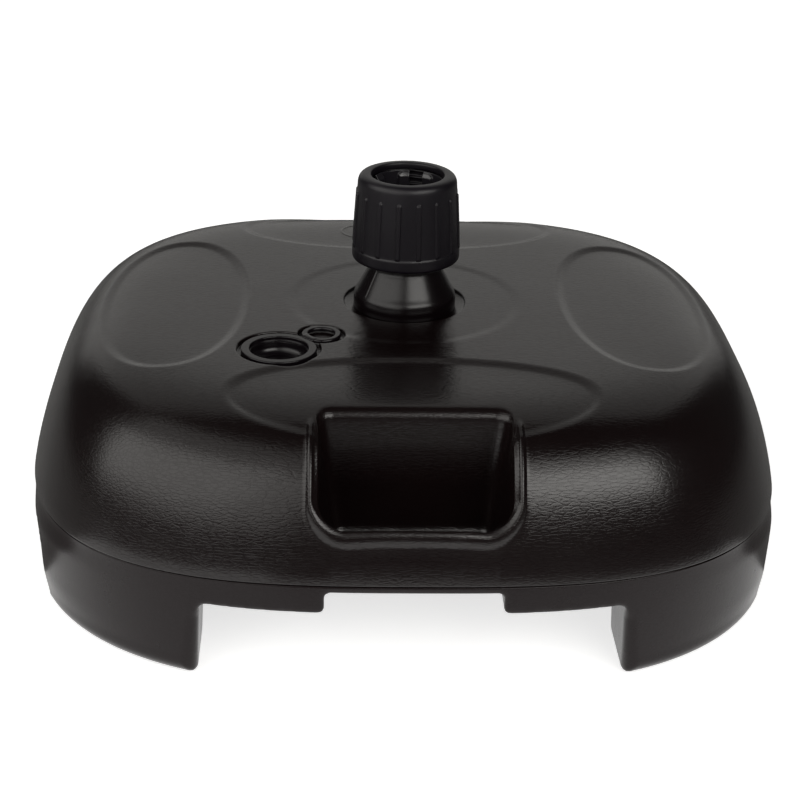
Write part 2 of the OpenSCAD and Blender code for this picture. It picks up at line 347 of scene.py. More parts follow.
def oval_dist(x, y, o):
    X, Y = np.abs(x - o[0]) / o[2], np.abs(y - o[1]) / o[3]
    m = OVAL_M
    e = np.maximum((X**m + Y**m) ** (1 / m), 1e-6)
    g = np.sqrt(((X / e) ** (m - 1) / o[2]) ** 2 + ((Y / e) ** (m - 1) / o[3]) ** 2)
    return (1 - e) / np.maximum(g, 1e-6)


MARK = (-27.0, 147.5, 15.0)


def top_z(x, y):
    """Height of the tank's top without its pocket, keyhole and counterbore."""
    z = dome_z(x, y)
    for o in OVALS:
        d = oval_dist(x, y, o)
        z = z - 1.6 * smoothstep((d + 0.6) / 8.6) - 0.5 * (1 - np.exp(-np.maximum(d, 0) / 9.0)) * smoothstep(d / 2.5)
    z = z - 0.5 * smoothstep((82.0 - np.hypot(x, y)) / 9.0)
    r = np.hypot(x - MARK[0], y - MARK[1])
    return z + 0.35 * np.exp(-(((r - MARK[2]) / 0.7) ** 2))


def top_normal(x, y):
    e = 0.05
    gx = (dome_z(x + e, y) - dome_z(x - e, y)) / (2 * e)
    gy = (dome_z(x, y + e) - dome_z(x, y - e)) / (2 * e)
    n = np.stack([-gx, -gy, np.ones_like(gx)], 1)
    return n / np.linalg.norm(n, axis=1, keepdims=True)


# outlines of the pocket: the same point order at every size
def pocket_loop(w, yb, yf, rb, rf, ry):
    def line(p, q, n):
        k = np.arange(n)[:, None] / n
        return np.array(p) * (1 - k) + np.array(q) * k

    def arc(c, rx, ry_, a0, a1, n):
        a = np.radians(a0 + (a1 - a0) * np.arange(n) / n)
        return np.array(c) + np.stack([rx * np.cos(a), ry_ * np.sin(a)], 1)

    return np.concatenate([
        line((-w + rb, yb), (w - rb, yb), 64),
        arc((w - rb, yb - rb), rb, rb, 90, 0, 20),
        line((w, yb - rb), (w, yf + ry), 40),
        arc((w - rf, yf + ry), rf, ry, 0, -90, 30),
        line((w - rf, yf), (-w + rf, yf), 56),
        arc((-w + rf, yf + ry), rf, ry, -90, -180, 30),
        line((-w, yf + ry), (-w, yb - rb), 40),
        arc((-w + rb, yb - rb), rb, rb, 180, 90, 20),
    ])


def loop_dist(x, y, loop):
    """Signed distance to a closed outline, positive outside it."""
    x, y = np.asarray(x, float), np.asarray(y, float)
    out = np.full(x.shape, 60.0)
    near = (x > loop[:, 0].min() - 12) & (x < loop[:, 0].max() + 12) & (y > loop[:, 1].min() - 12) & (y < loop[:, 1].max() + 12)
    if not near.any():
        return out
    P = np.stack([x[near], y[near]], 1)
    A, B = loop, np.roll(loop, -1, 0)
    best = np.full(len(P), 1e9)
    inside = np.zeros(len(P), bool)
    for a, b in zip(A, B):
        ab, ap = b - a, P - a
        t = np.clip((ap @ ab) / max(ab @ ab, 1e-12), 0, 1)
        best = np.minimum(best, ((ap - t[:, None] * ab) ** 2).sum(1))
        if a[1] != b[1]:
            cross = (a[1] > P[:, 1]) != (b[1] > P[:, 1])
            inside ^= cross & (P[:, 0] < (b[0] - a[0]) * (P[:, 1] - a[1]) / (b[1] - a[1]) + a[0])
    out[near] = np.sqrt(best) * np.where(inside, -1, 1)
    return out


P_OUT = (66.2, -166.0, -235.0, 14.0, 26.0, 9.6)
P_R1 = (61.2, -168.6, -231.6, 10.5, 22.0, 8.4)
P_R2 = (58.4, -176.6, -230.0, 9.5, 20.0, 8.0)
P_R3 = (50.4, -178.6, -228.0, 8.5, 14.0, 7.0)
P_R4 = (46.6, -182.0, -224.8, 4.5, 9.0, 4.4)
K_OUT = pocket_loop(*P_OUT)


def key_loop(d, n1=150, n2=104):
    """Outline of the keyhole recess, grown by d: an arc round the plug, then one round the ring."""
    r1, r2 = 27.5 + d, 15.8 + d
    a1 = math.acos((r1 * r1 + KL * KL - r2 * r2) / (2 * r1 * KL))
    a2 = math.acos((r2 * r2 + KL * KL - r1 * r1) / (2 * r2 * KL))
    t1 = KD + a1 + (TAU - 2 * a1) * np.arange(n1) / n1
    t2 = KD - (math.pi - a2) + (TAU - 2 * a2) * np.arange(n2) / n2
    return np.concatenate([
        PLUG + r1 * np.stack([np.cos(t1), np.sin(t1)], 1),
        RING + r2 * np.stack([np.cos(t2), np.sin(t2)], 1),
    ])


def key_dist(x, y):
    return np.minimum(np.hypot(x - PLUG[0], y - PLUG[1]) - 27.5, np.hypot(x - RING[0], y - RING[1]) - 15.8)


def circle(c, r, n, a0=0.0):
    a = a0 + TAU * np.arange(n) / n
    return np.array(c) + r * np.stack([np.cos(a), np.sin(a)], 1)


# ------------------------------------------------------------------ tank, upper shell
def make_upper():
    V, F = [], []
    count = [0]

    def put(P):
        V.append(np.asarray(P, float))
        i = np.arange(count[0], count[0] + len(P))
        count[0] += len(P)
        return i

    # 1. plan points of the open surface
    NB = 560
    tb = even_t(NB)
    edge = plan_ring(1.0, tb)
    k_out = pocket_loop(*P_OUT)
    c_out = circle((0, 0), 44.0, 240)
    key_out = key_loop(2.0)
    loops = [edge, k_out, c_out, key_out]
    # rings down the shoulder, about 3 mm apart along the slope
    s, rings = 1.0, []
    while s > 0.6:
        ds = 1e-4
        zs = lambda q: Z0 + DH * max(0.0, 1 - q**DP) ** DQ
        slope = abs(zs(s) - zs(s - ds)) / ds
        s -= (2.6 if s > 0.9 else 3.4) / math.hypot(slope, 245.0)
        rings.append(s)
    pts = []
    for i, q in enumerate(rings):
        n = int(NB * (0.9 if q > 0.9 else 0.72))
        pts.append(plan_ring(q, even_t(n, 1.0) + (0.5 * (i % 2)) * TAU / n))
    lim = rings[-1] - 0.008
    # open grid over the flat middle
    gx, gy = np.meshgrid(np.arange(-200, 200.1, 4.0), np.arange(-190, 190.1, 3.6))
    gx = gx + 2.0 * (np.arange(gx.shape[0]) % 2)[:, None]
    grid = np.stack([gx.ravel(), gy.ravel()], 1)
    grid = grid[plan_s(grid[:, 0], grid[:, 1]) < lim]
    base = np.concatenate(pts + [grid])
    # bands of fine points along the ovals' rims, the dish and the mark
    fine = []
    for o in OVALS:
        for d in (-2.4, -1.3, -0.5, 0.4, 1.3, 2.3, 3.3, 4.3, 5.3, 6.3, 7.3, 8.6):
            a = TAU * np.arange(230) / 230
            m = OVAL_M
            ex, ey = o[2] - d, o[3] - d
            r = 1 / ((np.abs(np.cos(a)) / ex) ** m + (np.abs(np.sin(a)) / ey) ** m) ** (1 / m)
            p = np.stack([o[0] + r * np.cos(a), o[1] + r * np.sin(a)], 1)
            # spread the points evenly along the oval
            q = np.concatenate([p, p[:1]])
            dd = np.concatenate([[0], np.cumsum(np.linalg.norm(np.diff(q, axis=0), axis=1))])
            at = (np.arange(230) + 0.5 * (int(abs(d) * 10) % 2)) / 230 * dd[-1]
            fine.append(np.stack([np.interp(at, dd, q[:, 0]), np.interp(at, dd, q[:, 1])], 1))
    for r in (72, 73.5, 75, 76.5, 78, 79.5, 81, 82.5):
        fine.append(circle((0, 0), r, 200, 0.01 * r))
    for r in (12.8, 13.6, 14.1, 14.5, 15.0, 15.5, 15.9, 16.4, 17.2):
        fine.append(circle(MARK[:2], r, 120, 0.01 * r))
    for d in (2.0, 5.0):
        fine.append(pocket_loop(P_OUT[0] + d, P_OUT[1] + d, P_OUT[2] - min(d, 2.2), P_OUT[3] + d, P_OUT[4] + d, P_OUT[5] + d))
    for r in (45.5, 47.5, 50.5):
        fine.append(circle((0, 0), r, 200))
    for d in (3.4, 5.4, 8.4):
        fine.append(key_loop(d)[::2])
    fine = np.concatenate(fine)

    def free(P, gap):
        x, y = P[:, 0], P[:, 1]
        return (
            (plan_s(x, y) < 1 - gap * 0.0035)
            & (loop_dist(x, y, K_OUT) > gap)
            & (np.hypot(x, y) > 44.0 + gap)
            & (key_dist(x, y) > 2.0 + gap)
        )

    fine = fine[free(fine, 0.9)]
    base = base[free(base, 1.4)]
    # thin out the base near fine points
    from mathutils.kdtree import KDTree
    tree = KDTree(len(fine))
    for i, p in enumerate(fine):
        tree.insert((p[0], p[1], 0), i)
    tree.balance()
    keep = np.array([tree.find((p[0], p[1], 0))[2] > 1.7 for p in base])
    base = base[keep]
    P2 = np.concatenate(loops + [fine, base])
    starts = np.cumsum([0] + [len(l) for l in loops])
    edges = []
    for k, l in enumerate(loops):
        n = len(l)
        edges += [(int(starts[k] + i), int(starts[k] + (i + 1) % n)) for i in range(n)]
    res = delaunay_2d_cdt([Vector((float(a), float(b))) for a, b in P2], edges, [], 0, 1e-5, True)
    Q = np.array([(v.x, v.y) for v in res[0]])
    T = np.array(res[2])
    orig = res[3]
    cen = Q[T].mean(1)
    kd = loop_dist(cen[:, 0], cen[:, 1], key_out)
    ok = (
        (loop_dist(cen[:, 0], cen[:, 1], K_OUT) > -0.02)
        & (np.hypot(cen[:, 0], cen[:, 1]) > 43.99)
        & (kd > 0)
    )
    # a triangle whose three corners all lie on one hole's loop is inside that hole
    which = np.full(len(Q), -1)
    where = {}
    for new, olds in enumerate(orig):
        for o in olds:
            where[o] = new
            for k in range(4):
                if starts[k] <= o < starts[k + 1]:
                    which[new] = k
    w = which[T]
    same = (w[:, 0] == w[:, 1]) & (w[:, 1] == w[:, 2]) & (w[:, 0] > 0) & ~((w[:, 0] == 3) & (kd > 0))
    T = T[ok & ~same]
    area = np.cross(Q[T[:, 1]] - Q[T[:, 0]], Q[T[:, 2]] - Q[T[:, 0]])
    T[area < 0] = T[area < 0][:, ::-1]
    top = put(np.column_stack([Q, top_z(Q[:, 0], Q[:, 1])]))
    F.append(T)
    loop_ids = [np.array([where[int(starts[k] + i)] for i in range(len(l))]) for k, l in enumerate(loops)]

    # 2. lower edge of the dome, rolled under to the seam
    e_ids = loop_ids[0]
    rr = [e_ids]
    for inset, z in ((0.02, 74.6), (0.15, 74.28), (0.4, 74.1), (0.8, 74.02), (2.0, 74.0), (12.0, 74.0)):
        q = edge * (1 - inset / np.hypot(edge[:, 0], edge[:, 1]))[:, None]
        rr.append(put(np.column_stack([q, np.full(len(q), z)])))
    F += strips(rr, NB, flip=True)
    F.append(rr[-1][::-1])

    # 3. grip pocket
    out, r1 = k_out, pocket_loop(*P_R1)
    r2, r3, r4 = pocket_loop(*P_R2), pocket_loop(*P_R3), pocket_loop(*P_R4)
    for q in (r3, r4):
        # the side walls open a little towards the front
        q[:, 0] *= 1 + 0.135 * smoothstep((-186.0 - q[:, 1]) / 34.0)
    nrm = top_normal(out[:, 0], out[:, 1])
    bead = smoothstep((-182.0 - out[:, 1]) / 13.0)
    sec = [np.column_stack([out, top_z(out[:, 0], out[:, 1])])]
    for t, h in ((0.12, 0.3), (0.32, 1.3), (0.52, 1.9), (0.72, 1.75), (0.88, 1.05), (1.0, 0.1)):
        q = out * (1 - t) + r1 * t
        sec.append(np.column_stack([q, top_z(q[:, 0], q[:, 1])]) + nrm * (h * bead)[:, None])
    z1 = sec[-1][:, 2]
    front = smoothstep((-214.0 - out[:, 1]) / 14.0)
    rear = smoothstep((out[:, 1] + 192.0) / 16.0)
    drop = 4.2 + 3.6 * rear - 1.2 * front

    zt = z1 - drop - 1.1 * bead

    def wall(z):
        t = np.clip((zt - z) / (zt - 84.5), 0, 1)[:, None]
        return r2 * (1 - t) + r3 * t

    for a0, a1 in ((18, 54), (36, 64), (54, 72), (72, 81), (88, 89)):
        a = np.radians(a0 * (1 - bead) + a1 * bead)
        z = z1 - drop * (1 - np.cos(a)) - 1.1 * bead * np.sin(a)
        s_ = np.sin(a)[:, None]
        sec.append(np.column_stack([r1 * (1 - s_) + wall(z) * s_, z]))
    for t in (0.15, 0.35, 0.55, 0.75, 0.9, 1.0):
        z = (zt - 1.0) * (1 - t) + 84.5 * t
        sec.append(np.column_stack([wall(z), z]))
    for t, z in ((0.2, 82.0), (0.55, 79.9), (1.0, 79.2)):
        q = r3 * (1 - t) + r4 * t
        sec.append(np.column_stack([q, np.full(len(q), z)]))
    sec = chaikin(np.array(sec), 2)
    ids = [loop_ids[1]] + [put(p) for p in sec[1:]]
    F += strips(ids, len(out), flip=False)
    F.append(ids[-1][::-1])

    # 4. counterbore round the tube's foot
    prof = ((43.0, 0.0), (42.55, -0.05), (42.25, -0.22), (42.05, -0.5), (41.85, -0.95), (41.5, -1.5),
            (41.0, -1.95), (40.3, -2.28), (39.4, -2.48), (38.2, -2.56))
    ids = [loop_ids[2]]
    for r, dz in prof:
        q = circle((0, 0), r, 240)
        g = top_z(44.0 * q[:, 0] / r, 44.0 * q[:, 1] / r)
        ids.append(put(np.column_stack([q, g + dz])))
    for r in (36.0, 33.0):
        ids.append(put(np.column_stack([circle((0, 0), r, 240), np.full(240, 161.45)])))
    F += strips(ids, 240, flip=False)
    F.append(ids[-1])

    # 5. keyhole recess and filler neck
    g0 = top_z(key_out[:, 0], key_out[:, 1])
    ids = [loop_ids[3]]
    for d, t in ((1.1, 0.0), (0.6, 0.02), (0.28, 0.08), (0.08, 0.19), (0.0, 0.35), (-0.05, 0.62), (-0.1, 0.82),
                 (-0.25, 0.93), (-0.6, 0.985), (-1.1, 1.0)):
        q = key_loop(d)
        ids.append(put(np.column_stack([q, g0 * (1 - t) + 161.95 * t])))
    F += strips(ids, len(key_out), flip=False)
    floor = key_loop(-1.1)
    mouth = circle(PLUG, 22.6, 180)
    q2 = np.concatenate([floor, mouth])
    ed = [(i, (i + 1) % len(floor)) for i in range(len(floor))]
    ed += [(len(floor) + i, len(floor) + (i + 1) % 180) for i in range(180)]
    res = delaunay_2d_cdt([Vector((float(a), float(b))) for a, b in q2], ed, [], 0, 1e-6, True)
    T = np.array(res[2])
    back = np.array([o[0] for o in res[3]])
    T = back[T]
    cen = q2[T].mean(1)
    T = T[(loop_dist(cen[:, 0], cen[:, 1], floor) < 0) & ~(T >= len(floor)).all(1)]
    area = np.cross(q2[T[:, 1]] - q2[T[:, 0]], q2[T[:, 2]] - q2[T[:, 0]])
    T[area < 0] = T[area < 0][:, ::-1]
    m_ids = put(np.column_stack([mouth, np.full(180, 161.95)]))
    lut = np.concatenate([ids[-1], m_ids])
    F.append(lut[T])
    neck = [m_ids]
    for r, z in ((22.2, 161.85), (21.95, 161.6), (21.85, 161.2), (21.85, 152.0), (21.85, 141.0), (21.85, 130.0)):
        neck.append(put(np.column_stack([circle(PLUG, r, 180), np.full(180, z)])))
    F += strips(neck, 180, flip=False)
    F.append(neck[-1])

    V = np.concatenate(V)
    ob = build("tank_top", V, F, "tank", ["tank_upper_shell"], M_top)
    bm = bmesh.new()
    bm.from_mesh(ob.data)
    loose = [v for v in bm.verts if not v.link_faces]
    bmesh.ops.delete(bm, geom=loose, context="VERTS")
    bmesh.ops.recalc_face_normals(bm, faces=bm.faces)
    open_edges = sum(1 for e in bm.edges if len(e.link_faces) != 2)
    bm.to_mesh(ob.data)
    bm.free()
    print("tank_top", len(ob.data.vertices), len(ob.data.polygons), "open", open_edges)
    return ob


# ------------------------------------------------------------------ tank, lower shell
def lower_f(x, y, z):
    a = np.interp(z, [0, 15, 45, 74], [251.8, 251.8, 251.0, 249.1])
    n = np.interp(z, [15, 45, 74], [2.76, 2.88, 3.05])
    b = a - 10
    X, Y = np.abs(x) / a, np.abs(y) / b
    s = np.maximum((X**n + Y**n) ** (1 / n), 1e-6)
    g = np.sqrt(((X / s) ** (n - 1) / a) ** 2 + ((Y / s) ** (n - 1) / b) ** 2)
    d_out = (s - 1) / np.maximum(g, 1e-6)
    ax, ay = np.abs(x), np.abs(y)
    # the flanks stand a little fuller than the superellipse beside the side arches
    d_out = d_out - 3.3 * np.exp(-(((ay - 140.0) / 42.0) ** 2)) * smoothstep((ax - 150) / 50.0) * smoothstep((73.0 - z) / 16.0) * (0.35 + 0.65 * smoothstep((z - 4.0) / 26.0))
    x0 = 130.0 + (54.8 - z) * 0.035
    y0 = 125.0 + (54.8 - z) * 0.035
    col = round_and(x0 - ax, y0 - ay, 45.0)
    foot = round_and(col, -z, 5.0)
    belly = 54.8 - z
    notch = round_and(round_and(ax - 54.3, y + 196.0, 6.0), z - 68.5, 4.0)
    belly = round_and(belly, -notch, 3.5)
    u = round_or(belly, foot, 5.0)
    r = np.interp(z, [0, 18, 44, 53, 60], [13.0, 10.0, 8.0, 2.6, 2.2])
    return round_and(d_out, u, r)


def make_lower():
    V, F, N = surface_nets(lower_f, (-254, -244, -3), (254, 244, 82), 2.0)
    # keep what is under the seam
    cut = 72.85
    ob = build("tank_skirt", V, F, "tank", ["tank_lower_shell"], M_skirt)
    bm = bmesh.new()
    bm.from_mesh(ob.data)
    bmesh.ops.bisect_plane(bm, geom=bm.verts[:] + bm.edges[:] + bm.faces[:], dist=1e-7,
                           plane_co=(0, 0, cut * MM), plane_no=(0, 0, 1), clear_outer=True)
    rim = [e for e in bm.edges if len(e.link_faces) == 1]
    res = bmesh.ops.extrude_edge_only(bm, edges=rim)
    new = [v for v in res["geom"] if isinstance(v, bmesh.types.BMVert)]
    for v in new:
        r = math.hypot(v.co.x, v.co.y)
        v.co.x *= 1 - 1.6 * MM / r
        v.co.y *= 1 - 1.6 * MM / r
        v.co.z += 0.02 * MM
    rim1 = [e for e in bm.edges if len(e.link_faces) == 1]
    res = bmesh.ops.extrude_edge_only(bm, edges=rim1)
    for v in [v for v in res["geom"] if isinstance(v, bmesh.types.BMVert)]:
        v.co.z += 1.06 * MM
    rim2 = [e for e in bm.edges if len(e.link_faces) == 1]
    res = bmesh.ops.extrude_edge_only(bm, edges=rim2)
    for v in [v for v in res["geom"] if isinstance(v, bmesh.types.BMVert)]:
        r = math.hypot(v.co.x, v.co.y)
        v.co.x *= 1 - 8.0 * MM / r
        v.co.y *= 1 - 8.0 * MM / r
    rim3 = [e for e in bm.edges if len(e.link_faces) == 1]
    bmesh.ops.contextual_create(bm, geom=rim3)
    bmesh.ops.recalc_face_normals(bm, faces=bm.faces)
    for f in bm.faces:
        f.smooth = True
    bm.to_mesh(ob.data)
    n_open = sum(1 for e in bm.edges if len(e.link_faces) != 2)
    bm.free()
    print("tank_skirt", len(ob.data.vertices), len(ob.data.polygons), "open", n_open)
    return ob


# ------------------------------------------------------------------ collar
THREAD_0 = 1.2


def make_collar():
    per = 16
    half = [0.0, 0.9, 1.6, 2.05, 2.35, 2.65, 2.95, 3.3, 3.9, 5.2, 7.2, 9.2]
    one = sorted(set([-h for h in half] + half + [11.25]))
    one = [o for o in one if o > -11.2]
    th = np.array([k * 22.5 + 11.25 - 90 + o for k in range(per) for o in one])
    t = np.radians(th)
    rel = np.array([o for k in range(per) for o in one])  # degrees from the rib's middle
    n = len(t)
    cz, ct = 196.6, 255.5
    sect = []  # (radius array, height)

    def ring(r, z):
        sect.append((np.full(n, float(r)) if np.isscalar(r) else r, np.full(n, float(z)) if np.isscalar(z) else z))

    # outside, from the underside up
    for r, z in ((33.8, cz), (35.0, cz + 0.15), (35.8, cz + 0.55), (36.3, cz + 1.2), (36.55, cz + 2.0),
                 (36.6, cz + 3.0), (36.6, cz + 5.0), (36.6, cz + 7.5), (36.52, cz + 8.2), (36.3, cz + 8.7), (36.08, cz + 9.05)):
        ring(r, z)
    zz = np.concatenate([np.linspace(cz + 9.4, cz + 42.9, 26), np.linspace(cz + 43.7, cz + 49.5, 15)])
    rb = lambda z: np.interp(z, [cz + 8.9, cz + 28.9, cz + 45.9, ct - 4.5], [36.02, 35.02, 33.95, 33.4])
    for z in zz:
        base = rb(z)
        arc = np.abs(np.radians(rel)) * base
        # rounded ribs, 3 mm wide, ending in a half-round at the top
        over = max(0.0, z - (cz + 45.9))
        d = np.hypot(arc, over)
        side = smoothstep((1.75 - d) / 0.6)
        ring(base + 0.98 * side, z)
    for r, z in ((33.45, ct - 5.4), (33.3, ct - 4.3), (33.05, ct - 3.3), (32.6, ct - 2.25), (31.95, ct - 1.35), (31.1, ct - 0.65),
                 (30.1, ct - 0.2), (29.0, ct), (27.2, ct), (25.9, ct - 0.02), (25.35, ct - 0.12), (25.0, ct - 0.35), (24.78, ct - 0.7),
                 (24.65, ct - 1.2), (24.6, ct - 2.0), (24.6, ct - 3.6), (24.65, ct - 4.05), (24.85, ct - 4.25), (25.3, ct - 4.3),
                 (26.0, ct - 4.3), (26.6, ct - 4.35), (27.2, ct - 4.6)):
        ring(r, z)
    # inside: a real helical thread, 4.8 mm pitch, open where the slip ring sits
    for z in np.arange(ct - 5.0, cz + 2.6, -0.4):
        ph = ((z - 4.8 * t / TAU - THREAD_0) / 4.8) % 1.0
        d = np.abs(ph - 0.5) * 4.8
        ridge = smoothstep((1.25 - d) / 0.75)
        low = 1.0 if z > 233 else 0.62
        fade = max(smoothstep((z - 237.2) / 1.0), smoothstep((228.6 - z) / 1.0) * smoothstep((z - (cz + 3.0)) / 3.0))
        if z > 233:
            fade = float(smoothstep((z - 237.2) / 1.0))
        ring(28.2 - 1.7 * low * ridge * fade, z)
    ring(28.2, cz + 2.0)
    ring(28.3, cz + 0.8)
    ring(28.7, cz + 0.25)
    ring(29.3, cz + 0.05)
    # core-out from below
    for r, z in ((30.1, cz + 0.05), (30.4, cz + 0.4), (30.45, cz + 12), (30.5, cz + 37.5), (30.8, cz + 38.6), (31.6, cz + 39),
                 (32.5, cz + 38.6), (32.8, cz + 37.5), (32.9, cz + 12), (33.0, cz + 0.5), (33.3, cz + 0.1)):
        ring(r, z)
    V, rings = [], []
    for k, (r, z) in enumerate(sect):
        V.append(np.column_stack([r * np.cos(t), r * np.sin(t), z]))
        rings.append(np.arange(k * n, (k + 1) * n))
    F = strips(rings + [rings[0]], n)
    ob = build("clamp_collar_nut", np.concatenate(V), F, "collar", ["clamp_collar"], M_collar)
    fix_outward(ob)
    return ob


def lathe(name, prof, n, body, replaces, mat, bumpf=None, closed=False):
    """A turned part. prof is [(r, z)], and bumpf may add to the radius at (angle, z)."""
    t = TAU * np.arange(n) / n
    V, rings = [], []
    for r, z in prof:
        rr = np.full(n, float(r))
        if bumpf is not None:
            rr = rr + bumpf(t, r, z)
        V.append(np.column_stack([rr * np.cos(t), rr * np.sin(t), np.full(n, float(z))]))
        rings.append(np.arange(len(V) * n - n, len(V) * n))
    if closed:
        F = strips(rings + [rings[0]], n)
    else:
        F = strips(rings, n) + [rings[0][::-1], rings[-1]]
    ob = build(name, np.concatenate(V), F, body, replaces, mat)
    fix_outward(ob)
    return ob


def round_prof(pts, radii, k=5):
    """A profile with its corners rounded. radii has one entry for each inner point."""
    out = [pts[0]]
    for i in range(1, len(pts) - 1):
        p, r = np.array(pts[i], float), radii[i - 1]
        if not r:
            out.append(tuple(p))
            continue
        a, b = np.array(pts[i - 1], float) - p, np.array(pts[i + 1], float) - p
        la, lb = np.linalg.norm(a), np.linalg.norm(b)
        r = min(r, 0.48 * la, 0.48 * lb)
        a, b = p + a / la * r, p + b / lb * r
        for j in range(k + 1):
            u = j / k
            out.append(tuple((1 - u) ** 2 * a + 2 * u * (1 - u) * p + u * u * b))
    out.append(pts[-1])
    return out


def subdivide_prof(prof, step):
    out = [prof[0]]
    for p, q in zip(prof[:-1], prof[1:]):
        d = math.hypot(q[0] - p[0], q[1] - p[1])
        m = max(1, int(math.ceil(d / step)))
        for j in range(1, m + 1):
            out.append((p[0] + (q[0] - p[0]) * j / m, p[1] + (q[1] - p[1]) * j / m))
    return out


def make_tube():
    prof = round_prof(
        [(4.0, 36.0), (24.0, 36.0), (24.0, 140.0), (29.6, 144.0), (29.6, 161.5), (35.0, 161.5), (35.0, 169.4), (34.2, 172.6),
         (32.0, 175.8), (24.4, 190.2), (24.0, 192.0), (24.0, 203.0), (25.5, 204.5), (25.5, 212.0),
         (21.0, 212.0), (21.0, 40.0), (4.0, 40.0), (4.0, 36.0)],
        [0.8, 1, 1, 0.4, 0.5, 3, 2.5, 1.3, 1.5, 0.8, 0.6, 0.6, 0.4, 0.4, 1.5, 0])
    prof = subdivide_prof(prof, 2.5)[:-1]

    def ridge(t, r, z):
        if not (173.0 < z < 191.5) or r < 23:
            return 0.0
        d = np.abs((np.degrees(t) - 214.0 + 180) % 360 - 180)
        d2 = np.abs((np.degrees(t) - 34.0 + 180) % 360 - 180)
        w = np.minimum(d, d2) * math.pi / 180 * r
        return 0.32 * np.exp(-((w / 0.34) ** 2)) * smoothstep((z - 173.2) / 1.0) * smoothstep((191.5 - z) / 1.0)

    return lathe("pole_tube", prof, 360, "tank", ["stand_tube"], M_tube, ridge, closed=True)


def make_nut():
    def f(x, y, z):
        r = np.hypot(x, y)
        d = round_and(r - 32.0, np.abs(z - 47.5) - 4.6, 1.2)
        d = np.minimum(d, round_and(r - 38.0, np.abs(z - 53.45) - 1.5, 0.8))
        a = np.arctan2(y, x)
        k = (a + math.pi / 8) % (math.pi / 4) - math.pi / 8
        lx, ly = r * np.cos(k), r * np.sin(k)
        lug = round_and(round_and(np.abs(ly) - 3.5, lx - 36.5, 1.2), np.abs(z - 48.0) - 5.0, 1.0)
        d = round_or(d, lug, 1.2)
        return round_and(d, 24.06 - r, 0.7)

    V, F, N = surface_nets(f, (-40, -40, 41), (40, 40, 56.5), 0.8)
    return build("tube_nut", V, F, "tank", ["tube_retaining_nut"], M_tube, N)


def make_plug():
    hz = 164.4

    def f(x, y, z):
        # plug's own frame: u towards the ring
        u = (x - PLUG[0]) * math.cos(KD) + (y - PLUG[1]) * math.sin(KD)
        w = -(x - PLUG[0]) * math.sin(KD) + (y - PLUG[1]) * math.cos(KD)
        r = np.hypot(u, w)
        flange = round_and(r - 24.6, np.abs(z - 163.6) - 1.65, 0.7)
        body = round_and(r - np.interp(z, [143, 147, 162], [20.9, 21.5, 21.5]), np.abs(z - 154.0) - 10.0, 1.5)
        d = round_or(flange, body, 0.5)
        # stepped cup with a flat floor
        c1 = round_and(r - 19.25, 162.4 - z, 0.5)
        c2 = round_and(r - 18.6, 153.9 - z, 5.2)
        cup = np.minimum(c1, c2 + 0.16 * np.exp(-(((z - 160.9) / 0.4) ** 2)))
        d = round_and(d, -cup, 0.7)
        # hollow from below
        low = round_and(r - 16.2, z - 151.6, 1.0)
        d = round_and(d, -low, 0.8)
        return round_and(d, u - 23.2, 0.35)

    V, F, N = surface_nets(f, (PLUG[0] - 27, PLUG[1] - 27, 142.5), (PLUG[0] + 27, PLUG[1] + 27, 167), 0.5)
    return build("filler_stopper", V, F, "plug", ["filler_plug"], M_plug, N)


def make_ring():
    hz = 164.4

    def f(x, y, z):
        u = (x - PLUG[0]) * math.cos(KD) + (y - PLUG[1]) * math.sin(KD)
        w = -(x - PLUG[0]) * math.sin(KD) + (y - PLUG[1]) * math.cos(KD)
        r = np.hypot(u - KL, w)
        z = z - hz
        band = round_and(np.abs(r - 11.0) - 2.1, np.abs(z) - 1.3, 1.15)
        band = round_and(band, 25.4 - u, 0.5)
        end = round_and(np.hypot(u - 25.1, z) - 1.15, np.abs(w) - 5.0, 0.5)
        tab = round_and(round_and(np.abs(w) - 5.0, np.abs(z) - 1.2, 0.5), np.abs(u - 27.6) - 2.5, 0.3)
        d = round_or(np.minimum(end, tab), band, 0.9)
        return np.maximum(d, 8.75 - r)

    V, F, N = surface_nets(f, (RING[0] - 16, RING[1] - 16, 162.4), (RING[0] + 16, RING[1] + 16, 166.4), 0.36)
    return build("pull_ring_loop", V, F, "pull_ring", ["plug_pull_ring"], M_plug, N)


